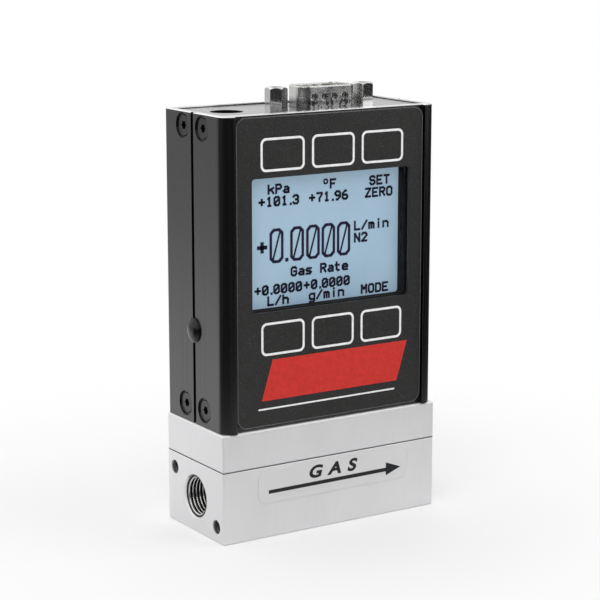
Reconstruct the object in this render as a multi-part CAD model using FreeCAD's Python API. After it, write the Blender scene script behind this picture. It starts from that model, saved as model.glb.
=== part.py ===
import FreeCAD, Part
import math
import os

# Compact laminar-flow gas mass flow meter. Millimetres.
# X runs along the flow from inlet to outlet, -Y is the front, Z is up.
# The origin is the middle of the flow body's underside.

V = FreeCAD.Vector

# Flow body and sensor block
body_w = 60.96
body_d = 26.67
flow_body_h = 17.6
sensor_block_h = 9.1
edge_break = 0.3
boss_h = 8.0

# Gas path through the flow body
port_z = 8.8
port_r = 5.1
port_depth = 11.0
port_chamfer = 0.35
bore_r = 3.6
tap_r = 0.7
plenum_tap_inset = 2.98
element_end_gap = 3.0
element_clearance = 0.02
element_ring_width = 1.6
element_ring_depth = 0.9
fine_flute_count = 16
fine_flute_width = 0.45
fine_flute_depth = 0.7
coarse_flute_count = 8
coarse_flute_width = 1.0
coarse_flute_depth = 1.2
screen_thickness = 0.6
screen_r = 4.3
screen_sink = 0.1
screen_hole_w = 1.4
screen_hole_pitch = 2.2
screen_row_count = 3

# Holes and bolts of the base
accessory_hole_r = 1.7
accessory_hole_depth = 7.0
accessory_hole_dy = 9.95
accessory_hole_dz = 4.97
mount_hole_r = 1.75
mount_hole_depth = 4.2
mount_hole_spacing = 25.4
bolt_inset_x = 13.48
bolt_inset_y = 3.735
bolt_shank_r = 1.42
bolt_head_r = 2.7
bolt_head_h = 2.8
bolt_socket_af = 2.4
bolt_socket_depth = 1.5
bolt_reach = 5.2
bolt_head_recess = 0.6
hole_spare_depth = 0.6
join_depth = 0.5
screw_hole_clearance = 0.03

# Flat sealing rings
seal_w = 0.8
seal_h = 0.8
tap_seal_inner_r = 1.2
seal_clearance = 0.02

# Housing shells
housing_side_step = 0.54
housing_h = 74.4
front_y = -13.6
rear_y = 13.73
wall = 1.6
recess_depth = 1.3
column_r = 3.0
column_w = 3.34
rear_corner_r = 0.85
inner_corner_r = 0.8
shell_edge_break = 0.2
seam_y = 0.7
seam_gap = 1.2
tongue_thickness = 0.55
tongue_length = 2.4
shell_clearance = 0.1

# Countersunk side screws
side_screw_offset_y = 4.5
side_screw_inset_low = 4.1
side_screw_inset_high = 3.4
side_screw_sink_r = 3.05
side_screw_recess = 0.4
side_screw_edge = 0.15
side_screw_rim = 0.25
side_screw_head_r = 2.62
side_screw_shank_r = 1.42
side_screw_length = 6.7
star_r = 1.2
star_waist_r = 0.84
star_depth = 0.9

# Plug in the seam
plug_z = 49.6
plug_head_r = 3.05
plug_rim_h = 0.35
plug_dome_h = 0.85
plug_stem_r = 2.2
plug_hole_r = 2.3
plug_snap_r = 2.5
plug_snap_h = 0.5

# Top plate and what stands in it
plate_h = 6.4
plate_inset = 0.35
plate_deck = 1.4
plate_pocket_w = 35.0
plate_pocket_shift = 0.6
plate_pocket_d = 17.0
connector_inset_x = 22.74
jackscrew_pitch = 24.99
jackscrew_af = 4.76
jackscrew_h = 5.05
jackscrew_thread_r = 1.42
jackscrew_bore_r = 1.15
jackscrew_bore_depth = 4.0
jackscrew_stud = 5.2
jackscrew_turn_left = 27.0
jackscrew_turn_right = -3.0
nut_af = 6.35
nut_h = 2.4
nut_turn = 30.0
dsub_w = 16.92
dsub_d = 8.36
dsub_taper = 10.0
dsub_corner_r = 2.6
dsub_wall = 0.45
dsub_rise = 5.15
dsub_flange_w = 30.8
dsub_flange_d = 12.5
dsub_flange_h = 0.8
dsub_face_depth = 4.6
dsub_back_w = 16.4
dsub_back_d = 10.0
dsub_back_h = 5.2
dsub_dent_r = 1.4
dsub_dent_depth = 0.32
dsub_dent_pitch = 2.9
front_dent_count = 4
rear_dent_count = 3
dsub_cutout_clearance = 0.25
pin_r = 0.5
pin_pitch = 2.77
pin_row_gap = 2.84
front_row_count = 5
rear_row_count = 4
pin_recess = 1.0
pin_point_h = 0.5
pin_point_r = 0.2
pin_tail = 4.6
jack_inset_x = 7.74
jack_hole_r = 3.95
jack_chamfer = 0.1
jack_neck_r = 3.88
jack_below_face = 0.05
jack_socket_r = 2.85
jack_socket_depth = 9.5
jack_body_r = 4.3
jack_body_h = 9.9
jack_pin_r = 1.0
jack_pin_recess = 1.2
jack_tab_w = 2.4
jack_tab_thickness = 0.5
jack_tab_length = 5.0

# Keypad
overlay_side_gap = 0.4
overlay_margin_low = 0.8
overlay_margin_high = 0.5
overlay_corner_r = 2.5
film_thickness = 0.25
circuit_thickness = 0.45
window_x = 0.2
window_w = 44.5
window_h = 31.6
window_z = 70.6
window_corner_r = 0.8
key_x = 0.3
key_pitch = 14.05
key_z_high = 91.8
key_z_low = 48.4
dome_w = 7.4
dome_top_w = 5.0
dome_h = 0.35
dome_thickness = 0.12
dome_clearance = 0.1
tail_w = 10.0
tail_thickness = 0.25
tail_z = 38.2
tail_slot_clearance = 0.3
tail_clearance = 0.02

# Display stack
lens_overlap = 1.5
lens_clearance = 0.1
frame_w = 47.8
frame_h = 37.6
frame_lip = 0.8
frame_wall = 0.7
glass_thickness = 2.0
backlight_thickness = 2.4
display_fit = 0.1

# Circuit boards
board_thickness = 1.6
board_side_gap = 0.74
board_hole_inset = 2.74
board_gap = 3.8
board_end_clearance = 1.0
board_boss_r = 1.9
board_boss_bore_r = 1.25
board_fix_low = 41.0
board_fix_high = 91.4
board_stud_r = 1.2
board_stud_length = 4.0
standoff_af = 3.6
board_screw_head_r = 1.9
board_screw_head_h = 1.2
board_screw_reach = 2.6
main_board_leg_w = 5.6
main_board_leg_h = 5.6
main_board_notch_w = 13.2
header_w = 25.4
header_h = 5.0
header_z = 60.0
processor_x = 0.0
processor_z = 62.0
processor_w = 12.0
processor_h = 1.4
converter_x = 14.0
converter_z = 54.0
converter_w = 6.0
converter_d = 5.0
regulator_x = -13.0
regulator_z = 72.0
regulator_w = 6.5
regulator_h = 2.3
capacitor_x = 10.0
capacitor_pitch = 7.0
capacitor_z = 74.0
capacitor_r = 2.5
capacitor_h = 5.4
keypad_connector_w = 11.4
keypad_connector_h = 3.2
keypad_connector_reach = 3.4

# Sensors on the sensor block
sensor_side_gap = 1.0
sensor_d = 7.0
sensor_h = 5.6
sensor_ear_w = 3.2
sensor_ear_h = 1.8
sensor_screw_r = 0.85
sensor_screw_head_r = 1.5
sensor_screw_head_h = 1.0
sensor_screw_reach = 3.5
nozzle_r = 1.0
nozzle_inset_x = 2.5
nozzle_length = 4.4
nozzle_socket_depth = 5.0
absolute_can_r = 3.3
absolute_can_h = 4.8
lead_w = 0.6
lead_thickness = 0.3
lead_pitch = 2.54
lead_overlap = 3.0
differential_lead_count = 4
absolute_lead_count = 3
probe_lead_count = 2
probe_r = 0.6
probe_hole_clearance = 0.08
probe_reach = 2.2
probe_head_r = 2.1
probe_head_h = 2.4

# Label on the flow body
label_x = 0.75
label_w = 43.3
label_h = 8.1
label_z = 12.65
label_corner_r = 2.2
label_thickness = 0.2

# Places that follow from the sizes above
block_top = flow_body_h + sensor_block_h
boss_top = block_top + boss_h
housing_top = block_top + housing_h
housing_w = body_w - 2 * housing_side_step
half_w = housing_w / 2
inner_half_w = half_w - wall
column_inner_x = half_w - column_w
overlay_w = 2 * (column_inner_x - overlay_side_gap)
board_w = 2 * (inner_half_w - board_side_gap)
board_hole_x = inner_half_w - board_hole_inset
recess_y = front_y + recess_depth
inner_front_y = recess_y + wall
inner_rear_y = rear_y - wall
seam_front_y = seam_y - seam_gap / 2
seam_rear_y = seam_y + seam_gap / 2
port_floor_x = body_w / 2 - port_depth
plenum_tap_x = port_floor_x - plenum_tap_inset
element_length = 2 * (plenum_tap_x - element_end_gap)
sensor_w = 2 * (plenum_tap_x - absolute_can_r - sensor_side_gap - sensor_ear_w)
tap_x = sensor_w / 2 - nozzle_inset_x
bolt_x = body_w / 2 - bolt_inset_x
bolt_y = body_d / 2 - bolt_inset_y
jack_x = jack_inset_x - inner_half_w
connector_x = inner_half_w - connector_inset_x
plate_pocket_x = connector_x - plate_pocket_shift
plate_top = housing_top - plate_inset
plate_bottom = plate_top - plate_h
deck_bottom = plate_top - plate_deck
flange_bottom = deck_bottom - dsub_flange_h
side_screw_z_low = block_top + side_screw_inset_low
side_screw_z_high = housing_top - side_screw_inset_high
circuit_y = recess_y - circuit_thickness
film_y = circuit_y - film_thickness
overlay_z0 = block_top + overlay_margin_low
overlay_z1 = housing_top - overlay_margin_high
display_front_y = inner_front_y + frame_lip
backlight_y = display_front_y + glass_thickness
display_board_y = backlight_y + backlight_thickness
display_board_rear_y = display_board_y + board_thickness
tail_end_y = display_board_y - keypad_connector_reach / 2
main_board_y = display_board_rear_y + board_gap
main_board_rear_y = main_board_y + board_thickness
connector_y = main_board_y + board_thickness / 2
board_z0 = boss_top + board_end_clearance
board_z1 = plate_bottom - board_end_clearance
pin_top = plate_top + dsub_rise - pin_recess
insulator_bottom = flange_bottom - dsub_back_h
jack_body_top = plate_bottom
jack_body_bottom = jack_body_top - jack_body_h
seal_gland_depth = seal_h + seal_clearance
nozzle_socket_r = nozzle_r + seal_w + 2 * seal_clearance


def box(x0, x1, y0, y1, z0, z1):
    return Part.makeBox(x1 - x0, y1 - y0, z1 - z0, V(x0, y0, z0))


def rod(r, length, base, direction):
    return Part.makeCylinder(r, length, base, direction)


def rounded_box(x0, x1, y0, y1, z0, z1, r, axis):
    """A box whose four edges along the named axis are rounded."""
    solid = box(x0, x1, y0, y1, z0, z1)
    edges = [e for e in solid.Edges if abs(getattr(e.tangentAt(e.FirstParameter), axis)) > 0.9]
    return solid.makeFillet(r, edges)


def chamfer_along(solid, size, chosen):
    """Breaks every edge for which chosen(edge) is true."""
    return solid.makeChamfer(size, [e for e in solid.Edges if chosen(e)])


def hexagon(af, height, base, turn=0.0):
    """A hexagonal prism standing on base along Z."""
    reach = af / math.sqrt(3)
    points = []
    for i in range(7):
        a = math.radians(turn + 60 * i)
        points.append(V(base.x + reach * math.cos(a), base.y + reach * math.sin(a), base.z))
    return Part.Face(Part.makePolygon(points)).extrude(V(0, 0, height))


def hexagon_along_y(af, length, base):
    prism = hexagon(af, length, V(0, 0, 0))
    prism.rotate(V(0, 0, 0), V(1, 0, 0), -90)
    prism.translate(base)
    return prism


def seal_ring(x, z0, inner_r, width, height):
    """A flat ring lying level, its axis upright at x."""
    outer = rod(inner_r + width, height, V(x, 0, z0), V(0, 0, 1))
    return outer.cut(rod(inner_r, height, V(x, 0, z0), V(0, 0, 1)))


def joined(solids):
    """One solid from several that overlap or touch."""
    whole = solids[0].fuse(solids[1:])
    return whole.removeSplitter()


def group(solids):
    return Part.makeCompound(solids)


def base_block(z0, z1):
    """One of the two machined blocks, with its edges broken."""
    half = body_w / 2
    block = box(-half, half, -body_d / 2, body_d / 2, z0, z1)
    return block.makeChamfer(edge_break, block.Edges)


def accessory_holes():
    """Diagonal pair of tapped holes beside each port."""
    holes = []
    for side in (-1, 1):
        for end in (-1, 1):
            y = -side * end * accessory_hole_dy
            z = port_z + end * accessory_hole_dz
            mouth = V(side * body_w / 2, y, z)
            holes.append(rod(accessory_hole_r, accessory_hole_depth, mouth, V(-side, 0, 0)))
    return holes


def port_cut(side):
    """Threaded port's wall, its mouth chamfer and the recess for the screen in its floor."""
    mouth = V(side * body_w / 2, 0, port_z)
    inward = V(-side, 0, 0)
    cone = Part.makeCone(port_r + port_chamfer, port_r, port_chamfer, mouth, inward)
    screen_seat_depth = port_depth + screen_sink + screen_thickness
    return [rod(port_r, port_depth, mouth, inward), cone,
            rod(screen_r + element_clearance, screen_seat_depth, mouth, inward)]


def bolt_places():
    return [(sx * bolt_x, sy * bolt_y) for sx in (-1, 1) for sy in (-1, 1)]


def tap_places():
    return [-plenum_tap_x, -tap_x, tap_x, plenum_tap_x]


def flow_body():
    body = base_block(0, flow_body_h)
    cuts = accessory_holes()
    for side in (-1, 1):
        cuts += port_cut(side)
        cuts.append(rod(mount_hole_r, mount_hole_depth, V(side * mount_hole_spacing / 2, 0, 0), V(0, 0, 1)))
    cuts.append(rod(bore_r, 2 * port_floor_x, V(-port_floor_x, 0, port_z), V(1, 0, 0)))
    for x in tap_places():
        hole_r = probe_r + probe_hole_clearance if x == plenum_tap_x else tap_r
        cuts.append(rod(hole_r, flow_body_h - port_z, V(x, 0, port_z), V(0, 0, 1)))
        cuts.append(rod(tap_seal_inner_r + seal_w + seal_clearance, seal_gland_depth,
                        V(x, 0, flow_body_h), V(0, 0, -1)))
    for x, y in bolt_places():
        cuts.append(rod(bolt_shank_r + screw_hole_clearance, flow_body_h, V(x, y, 0), V(0, 0, 1)))
        seat = bolt_head_h + bolt_head_recess
        cuts.append(rod(bolt_head_r + shell_clearance, seat, V(x, y, 0), V(0, 0, 1)))
    return body.cut(cuts)


def tap_seals():
    z0 = flow_body_h - seal_gland_depth
    return group([seal_ring(x, z0, tap_seal_inner_r, seal_w, seal_h) for x in tap_places()])


def body_bolts():
    """Socket-head bolts that hold the two blocks together from below."""
    bolts = []
    for x, y in bolt_places():
        seat = bolt_head_h + bolt_head_recess
        head = rod(bolt_head_r, bolt_head_h, V(x, y, bolt_head_recess), V(0, 0, 1))
        shank = rod(bolt_shank_r, flow_body_h + bolt_reach - seat, V(x, y, seat), V(0, 0, 1))
        socket = hexagon(bolt_socket_af, bolt_socket_depth, V(x, y, bolt_head_recess))
        bolts.append(joined([head, shank]).cut(socket))
    return group(bolts)


def flutes(count, width, depth, x0, x1, radius):
    """Straight grooves milled along the element, evenly spaced round it."""
    cuts = []
    for i in range(count):
        slot = box(x0, x1, -width / 2, width / 2, radius - depth, radius + depth)
        slot.rotate(V(0, 0, 0), V(1, 0, 0), 360.0 * i / count)
        slot.translate(V(0, 0, port_z))
        cuts.append(slot)
    return cuts


def laminar_element():
    """Fluted core: fine flutes between the two taps, coarse ones outside them."""
    radius = bore_r - element_clearance
    half = element_length / 2
    core = rod(radius, element_length, V(-half, 0, port_z), V(1, 0, 0))
    cuts = flutes(fine_flute_count, fine_flute_width, fine_flute_depth, -tap_x, tap_x, radius)
    cuts += flutes(coarse_flute_count, coarse_flute_width, coarse_flute_depth, -half, -tap_x, radius)
    cuts += flutes(coarse_flute_count, coarse_flute_width, coarse_flute_depth, tap_x, half, radius)
    for x in (-tap_x, tap_x):
        start = V(x - element_ring_width / 2, 0, port_z)
        outer = rod(radius + 1, element_ring_width, start, V(1, 0, 0))
        cuts.append(outer.cut(rod(radius - element_ring_depth, element_ring_width, start, V(1, 0, 0))))
    return core.cut(cuts)


def flow_screen(side):
    """Disc let into the port's floor, with rows of square openings."""
    seat = side * (port_floor_x - screen_sink - screen_thickness)
    x0 = min(seat, seat + side * screen_thickness)
    disc = rod(screen_r, screen_thickness, V(x0, 0, port_z), V(1, 0, 0))
    half = screen_hole_w / 2
    steps = [(i - (screen_row_count - 1) / 2) * screen_hole_pitch for i in range(screen_row_count)]
    return disc.cut([box(x0, x0 + screen_thickness, y - half, y + half, port_z + z - half, port_z + z + half)
                     for y in steps for z in steps])


def side_screw_places():
    """Side, Y and Z of each of the eight side screws."""
    places = []
    for side in (-1, 1):
        for z in (side_screw_z_low, side_screw_z_high):
            for end in (-1, 1):
                places.append((side, seam_y + end * side_screw_offset_y, z))
    return places


def side_screw_bores(z):
    """Tapped holes for the side screws at one height."""
    reach = side_screw_recess + side_screw_length + screw_hole_clearance
    r = side_screw_shank_r + screw_hole_clearance
    return [rod(r, reach, V(side * half_w, y, z), V(-side, 0, 0))
            for side, y, height in side_screw_places() if height == z]


def sensor_block():
    """Upper block with the boss that the housing slips over."""
    block = base_block(flow_body_h, block_top)
    half = inner_half_w - shell_clearance
    boss = rounded_box(-half, half, inner_front_y + shell_clearance, inner_rear_y - shell_clearance,
                       block_top - sensor_block_h / 2, boss_top, inner_corner_r, "z")
    block = joined([block, boss])
    cuts = side_screw_bores(side_screw_z_low)
    rise = boss_top - flow_body_h
    for x, y in bolt_places():
        cuts.append(rod(bolt_shank_r + screw_hole_clearance, bolt_reach + hole_spare_depth,
                        V(x, y, flow_body_h), V(0, 0, 1)))
    for x in tap_places():
        if x == plenum_tap_x:
            cuts.append(rod(probe_r + probe_hole_clearance, rise, V(x, 0, flow_body_h), V(0, 0, 1)))
        else:
            cuts.append(rod(tap_r, rise, V(x, 0, flow_body_h), V(0, 0, 1)))
            cuts.append(rod(nozzle_socket_r, nozzle_socket_depth, V(x, 0, boss_top), V(0, 0, -1)))
    for x in sensor_screw_places():
        cuts.append(rod(sensor_screw_r + screw_hole_clearance, sensor_screw_reach + hole_spare_depth,
                        V(x, 0, boss_top), V(0, 0, -1)))
    return block.cut(cuts)


def shell_plan(points):
    """Closed face in the plan plane from corner points and arc middles."""
    edges = []
    for start, middle, end in points:
        if middle is None:
            edges.append(Part.LineSegment(start, end).toShape())
        else:
            edges.append(Part.Arc(start, middle, end).toShape())
    return Part.Face(Part.Wire(edges))


def arc_point(cx, cy, r, degrees, z):
    a = math.radians(degrees)
    return V(cx + r * math.cos(a), cy + r * math.sin(a), z)


def front_outline(z):
    """Outer plan of the front shell: two round columns and the recess between them."""
    w = half_w
    y_round = front_y + column_r
    left = -w + column_r
    right = w - column_r
    path = [
        (V(-w, seam_front_y, z), None, V(-w, y_round, z)),
        (V(-w, y_round, z), arc_point(left, y_round, column_r, 225, z), V(left, front_y, z)),
        (V(left, front_y, z), None, V(-column_inner_x, front_y, z)),
        (V(-column_inner_x, front_y, z), None, V(-column_inner_x, recess_y, z)),
        (V(-column_inner_x, recess_y, z), None, V(column_inner_x, recess_y, z)),
        (V(column_inner_x, recess_y, z), None, V(column_inner_x, front_y, z)),
        (V(column_inner_x, front_y, z), None, V(right, front_y, z)),
        (V(right, front_y, z), arc_point(right, y_round, column_r, -45, z), V(w, y_round, z)),
        (V(w, y_round, z), None, V(w, seam_front_y, z)),
        (V(w, seam_front_y, z), None, V(-w, seam_front_y, z)),
    ]
    return shell_plan(path)


def shell_cavity(y0, y1):
    """Inside space of the housing between two planes, its corners rounded."""
    return rounded_box(-inner_half_w, inner_half_w, y0, y1, block_top, housing_top, inner_corner_r, "z")


def countersink(side, y, z):
    """Straight-walled mouth, cone and clearance hole for one side screw."""
    mouth = V(side * half_w, y, z)
    inward = V(-side, 0, 0)
    hole_r = side_screw_shank_r + screw_hole_clearance * 4
    straight = side_screw_recess + side_screw_edge
    cone_h = side_screw_head_r - hole_r
    cone = Part.makeCone(side_screw_head_r, hole_r, cone_h, mouth + inward * straight, inward)
    return [rod(side_screw_sink_r, straight, mouth, inward), cone,
            rod(hole_r, wall + recess_depth, mouth, inward)]


def plug_hole():
    return rod(plug_hole_r, 2 * wall, V(-half_w - wall / 2, seam_y, plug_z), V(1, 0, 0))


def board_fix_places():
    return [(sx * board_hole_x, z) for sx in (-1, 1) for z in (board_fix_low, board_fix_high)]


def standoff_places():
    """Every fixing point but the one beside the power socket."""
    return [(x, z) for x, z in board_fix_places() if x > 0 or z < header_z]


def front_shell():
    """Front half: columns, recess, display opening, bosses and lapped side edges."""
    shell = front_outline(block_top).extrude(V(0, 0, housing_h))
    shell = chamfer_along(shell, shell_edge_break, lambda e: abs(e.CenterOfMass.z - housing_top) < 0.001
                          and e.CenterOfMass.y < seam_front_y - 0.001)
    shell = shell.cut(shell_cavity(inner_front_y, seam_y + wall))
    lap_x = inner_half_w + tongue_thickness + shell_clearance / 2
    lap_y = seam_front_y - tongue_length + seam_gap - shell_clearance
    cuts = [box(-lap_x, lap_x, lap_y, seam_y, block_top, housing_top)]
    for side, y, z in side_screw_places():
        if y < seam_y:
            cuts += countersink(side, y, z)
    cuts.append(plug_hole())
    cuts.append(window_block(inner_front_y, recess_y, lens_overlap, window_corner_r + lens_overlap))
    slot_w = tail_w / 2 + tail_slot_clearance
    slot_h = tail_thickness / 2 + tail_slot_clearance
    cuts.append(box(-slot_w, slot_w, recess_y, inner_front_y, tail_z - slot_h, tail_z + slot_h))
    shell = shell.cut(cuts)
    bosses = []
    bores = []
    boss_foot_y = recess_y + wall / 2
    for x, z in board_fix_places():
        bosses.append(rod(board_boss_r, display_board_y - boss_foot_y, V(x, boss_foot_y, z), V(0, 1, 0)))
        bores.append(rod(board_boss_bore_r, board_stud_length, V(x, display_board_y, z), V(0, -1, 0)))
    return joined([shell] + bosses).cut(bores)


def rear_shell():
    """Rear half, with the tongue that laps inside the front half's edges."""
    outer = box(-half_w, half_w, seam_rear_y, rear_y, block_top, housing_top)
    rear_edges = [e for e in outer.Edges if abs(e.CenterOfMass.y - rear_y) < 0.001]
    outer = outer.makeFillet(rear_corner_r, [e for e in rear_edges if abs(e.CenterOfMass.x) > inner_half_w])
    outer = chamfer_along(outer, shell_edge_break, lambda e: abs(e.CenterOfMass.z - housing_top) < 0.001
                          and e.CenterOfMass.y > seam_rear_y + 0.001)
    shell = outer.cut(shell_cavity(seam_y - wall, inner_rear_y))
    tongues = []
    for side in (-1, 1):
        x0 = side * inner_half_w
        x1 = side * (inner_half_w + tongue_thickness)
        tongues.append(box(min(x0, x1), max(x0, x1), seam_rear_y - tongue_length, seam_rear_y + wall,
                           block_top, housing_top))
    shell = joined([shell] + tongues)
    cuts = [plug_hole()]
    for side, y, z in side_screw_places():
        if y > seam_y:
            cuts += countersink(side, y, z)
    return shell.cut(cuts)


def star_cut(head_x, side, y, z):
    """Six-pointed driving recess in a side screw."""
    points = []
    for i in range(13):
        a = math.radians(30 * i)
        r = star_r if i % 2 == 0 else star_waist_r
        points.append(V(head_x, y + r * math.cos(a), z + r * math.sin(a)))
    return Part.Face(Part.makePolygon(points)).extrude(V(-side * star_depth, 0, 0))


def side_screws():
    screws = []
    for side, y, z in side_screw_places():
        head_x = side * (half_w - side_screw_recess)
        top = V(head_x, y, z)
        inward = V(-side, 0, 0)
        cone_h = side_screw_head_r - side_screw_shank_r
        head = Part.makeCone(side_screw_head_r, side_screw_shank_r, cone_h, top, inward)
        head = chamfer_along(head, side_screw_rim, lambda e: abs(e.CenterOfMass.x - head_x) < 0.001)
        shank = rod(side_screw_shank_r, side_screw_length - cone_h, top + inward * cone_h, inward)
        screws.append(joined([head, shank]).cut(star_cut(head_x, side, y, z)))
    return group(screws)


def side_plug():
    """Domed push-in plug: one turned profile about its own axis."""
    x0 = -half_w
    apex = V(x0 - plug_rim_h - plug_dome_h, 0, 0)
    shoulder = V(x0 - plug_rim_h, 0, plug_head_r)
    dome_r = (plug_head_r ** 2 + plug_dome_h ** 2) / (2 * plug_dome_h)
    half_angle = math.asin(plug_head_r / dome_r) / 2
    centre_x = apex.x + dome_r
    middle = V(centre_x - dome_r * math.cos(half_angle), 0, dome_r * math.sin(half_angle))
    snap_x = x0 + wall + shell_clearance
    end_x = snap_x + plug_snap_h
    edges = [
        Part.Arc(apex, middle, shoulder).toShape(),
        Part.makePolygon([shoulder, V(x0, 0, plug_head_r), V(x0, 0, plug_stem_r), V(snap_x, 0, plug_stem_r),
                          V(snap_x, 0, plug_snap_r), V(end_x, 0, plug_stem_r), V(end_x, 0, 0), apex]),
    ]
    wire = Part.Wire([edges[0]] + edges[1].Edges)
    plug = Part.Face(wire).revolve(V(0, 0, 0), V(1, 0, 0), 360)
    plug.translate(V(0, seam_y, plug_z))
    return plug


def top_plate():
    """Plate with screw rails at both ends, pocketed below the connector."""
    half = inner_half_w - shell_clearance
    plate = rounded_box(-half, half, inner_front_y + shell_clearance, inner_rear_y - shell_clearance,
                        plate_bottom, plate_top, inner_corner_r, "z")
    pocket_half = plate_pocket_w / 2
    cuts = [rounded_box(plate_pocket_x - pocket_half, plate_pocket_x + pocket_half,
                        connector_y - plate_pocket_d / 2, connector_y + plate_pocket_d / 2,
                        plate_bottom - 1, deck_bottom, inner_corner_r, "z")]
    cuts += side_screw_bores(side_screw_z_high)
    cuts.append(dsub_prism(dsub_cutout_clearance, deck_bottom - 1, plate_top + 1))
    stud_hole_r = jackscrew_thread_r + 2 * shell_clearance
    for x in jackscrew_places():
        cuts.append(rod(stud_hole_r, plate_h, V(x, connector_y, plate_top), V(0, 0, -1)))
    mouth = V(jack_x, connector_y, plate_top)
    cuts.append(rod(jack_hole_r, plate_h, mouth, V(0, 0, -1)))
    cuts.append(Part.makeCone(jack_hole_r + jack_chamfer, jack_hole_r, jack_chamfer, mouth, V(0, 0, -1)))
    return plate.cut(cuts)


def dsub_prism(grow, z0, z1):
    """D-shaped prism, its long side to the front, larger all round by grow."""
    lean = dsub_d * math.tan(math.radians(dsub_taper))
    slant = grow / math.cos(math.radians(dsub_taper))
    drop = grow * math.tan(math.radians(dsub_taper))
    front = dsub_w / 2 + slant + drop
    rear = dsub_w / 2 - lean + slant - drop
    y0 = connector_y - dsub_d / 2 - grow
    y1 = connector_y + dsub_d / 2 + grow
    corners = [V(connector_x - front, y0, z0), V(connector_x + front, y0, z0),
               V(connector_x + rear, y1, z0), V(connector_x - rear, y1, z0)]
    solid = Part.Face(Part.makePolygon(corners + corners[:1])).extrude(V(0, 0, z1 - z0))
    upright = [e for e in solid.Edges if abs(e.tangentAt(e.FirstParameter).z) > 0.9]
    return solid.makeFillet(dsub_corner_r + grow, upright)


def jackscrew_places():
    return [connector_x - jackscrew_pitch / 2, connector_x + jackscrew_pitch / 2]


def dsub_shell():
    """Drawn metal shell: flange, D-shaped wall and the dents that grip the mating shell."""
    rim = plate_top + dsub_rise
    flange = rounded_box(connector_x - dsub_flange_w / 2, connector_x + dsub_flange_w / 2,
                         connector_y - dsub_flange_d / 2, connector_y + dsub_flange_d / 2,
                         flange_bottom, deck_bottom, inner_corner_r, "z")
    shell = joined([flange, dsub_prism(0, flange_bottom, rim)])
    cuts = [dsub_prism(-dsub_wall, flange_bottom - 1, rim + 1)]
    for x in jackscrew_places():
        foot = V(x, connector_y, flange_bottom)
        cuts.append(rod(jackscrew_thread_r + shell_clearance, dsub_flange_h, foot, V(0, 0, 1)))
    dent_z = (plate_top + rim) / 2
    for facing, count in ((-1, front_dent_count), (1, rear_dent_count)):
        y = connector_y + facing * (dsub_d / 2 + dsub_dent_r - dsub_dent_depth)
        for i in range(count):
            x = connector_x + (i - (count - 1) / 2) * dsub_dent_pitch
            cuts.append(Part.makeSphere(dsub_dent_r, V(x, y, dent_z)))
    return shell.cut(cuts)


def pin_places():
    """X and Y of the contacts: the longer row in front, the shorter one behind."""
    places = []
    for count, facing in ((front_row_count, -1), (rear_row_count, 1)):
        y = connector_y + facing * pin_row_gap / 2
        for i in range(count):
            places.append((connector_x + (i - (count - 1) / 2) * pin_pitch, y))
    return places


def dsub_insulator():
    face_top = plate_top + dsub_rise - dsub_face_depth
    face = dsub_prism(-dsub_wall - element_clearance, flange_bottom - dsub_back_h / 2, face_top)
    back = rounded_box(connector_x - dsub_back_w / 2, connector_x + dsub_back_w / 2,
                       connector_y - dsub_back_d / 2, connector_y + dsub_back_d / 2,
                       insulator_bottom, flange_bottom, inner_corner_r, "z")
    depth = face_top - insulator_bottom
    bores = [rod(pin_r + element_clearance, depth, V(x, y, insulator_bottom), V(0, 0, 1))
             for x, y in pin_places()]
    return joined([face, back]).cut(bores)


def pointed_rod(r, tip_r, tip_h, x, y, z0, z1):
    """Upright contact from z0 to z1 with a conical tip."""
    shank = rod(r, z1 - tip_h - z0, V(x, y, z0), V(0, 0, 1))
    return joined([shank, Part.makeCone(r, tip_r, tip_h, V(x, y, z1 - tip_h), V(0, 0, 1))])


def dsub_pins():
    """Contacts whose tails straddle the main board."""
    start = insulator_bottom - pin_tail
    return group([pointed_rod(pin_r, pin_point_r, pin_point_h, x, y, start, pin_top)
                  for x, y in pin_places()])


def jackscrews():
    """Hexagonal jackscrews with a tapped bore and a stud below."""
    screws = []
    for x, turn in zip(jackscrew_places(), (jackscrew_turn_left, jackscrew_turn_right)):
        foot = V(x, connector_y, plate_top)
        head = hexagon(jackscrew_af, jackscrew_h, foot, turn)
        reach = jackscrew_af / math.sqrt(3)
        trim = rod(reach, jackscrew_h, foot, V(0, 0, 1))
        trim = trim.makeChamfer((reach - jackscrew_af / 2) * 1.2,
                                [e for e in trim.Edges if e.CenterOfMass.z > plate_top + jackscrew_h - 0.001])
        bore = rod(jackscrew_bore_r, jackscrew_bore_depth, foot + V(0, 0, jackscrew_h), V(0, 0, -1))
        root = V(0, 0, join_depth)
        stud = rod(jackscrew_thread_r, jackscrew_stud + join_depth, foot + root, V(0, 0, -1))
        screws.append(joined([head.common(trim), stud]).cut(bore))
    return group(screws)


def jackscrew_nuts():
    nuts = []
    for x in jackscrew_places():
        nut = hexagon(nut_af, nut_h, V(x, connector_y, flange_bottom - nut_h), nut_turn)
        top = V(x, connector_y, flange_bottom)
        nuts.append(nut.cut(rod(jackscrew_thread_r + element_clearance, nut_h, top, V(0, 0, -1))))
    return group(nuts)


def power_jack_body():
    """Socket body: wide barrel under the plate and a neck that fills the hole."""
    axis = V(jack_x, connector_y, 0)
    top = plate_top - jack_below_face
    barrel = rod(jack_body_r, jack_body_h, axis + V(0, 0, jack_body_bottom), V(0, 0, 1))
    neck = rod(jack_neck_r, top - jack_body_top + wall, axis + V(0, 0, jack_body_top - wall), V(0, 0, 1))
    socket = rod(jack_socket_r, jack_socket_depth, axis + V(0, 0, top), V(0, 0, -1))
    slot = jack_tab_cut()
    pin_hole = rod(jack_pin_r, jack_body_h, axis + V(0, 0, jack_body_bottom), V(0, 0, 1))
    return joined([barrel, neck]).cut([socket, slot, pin_hole])


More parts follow.
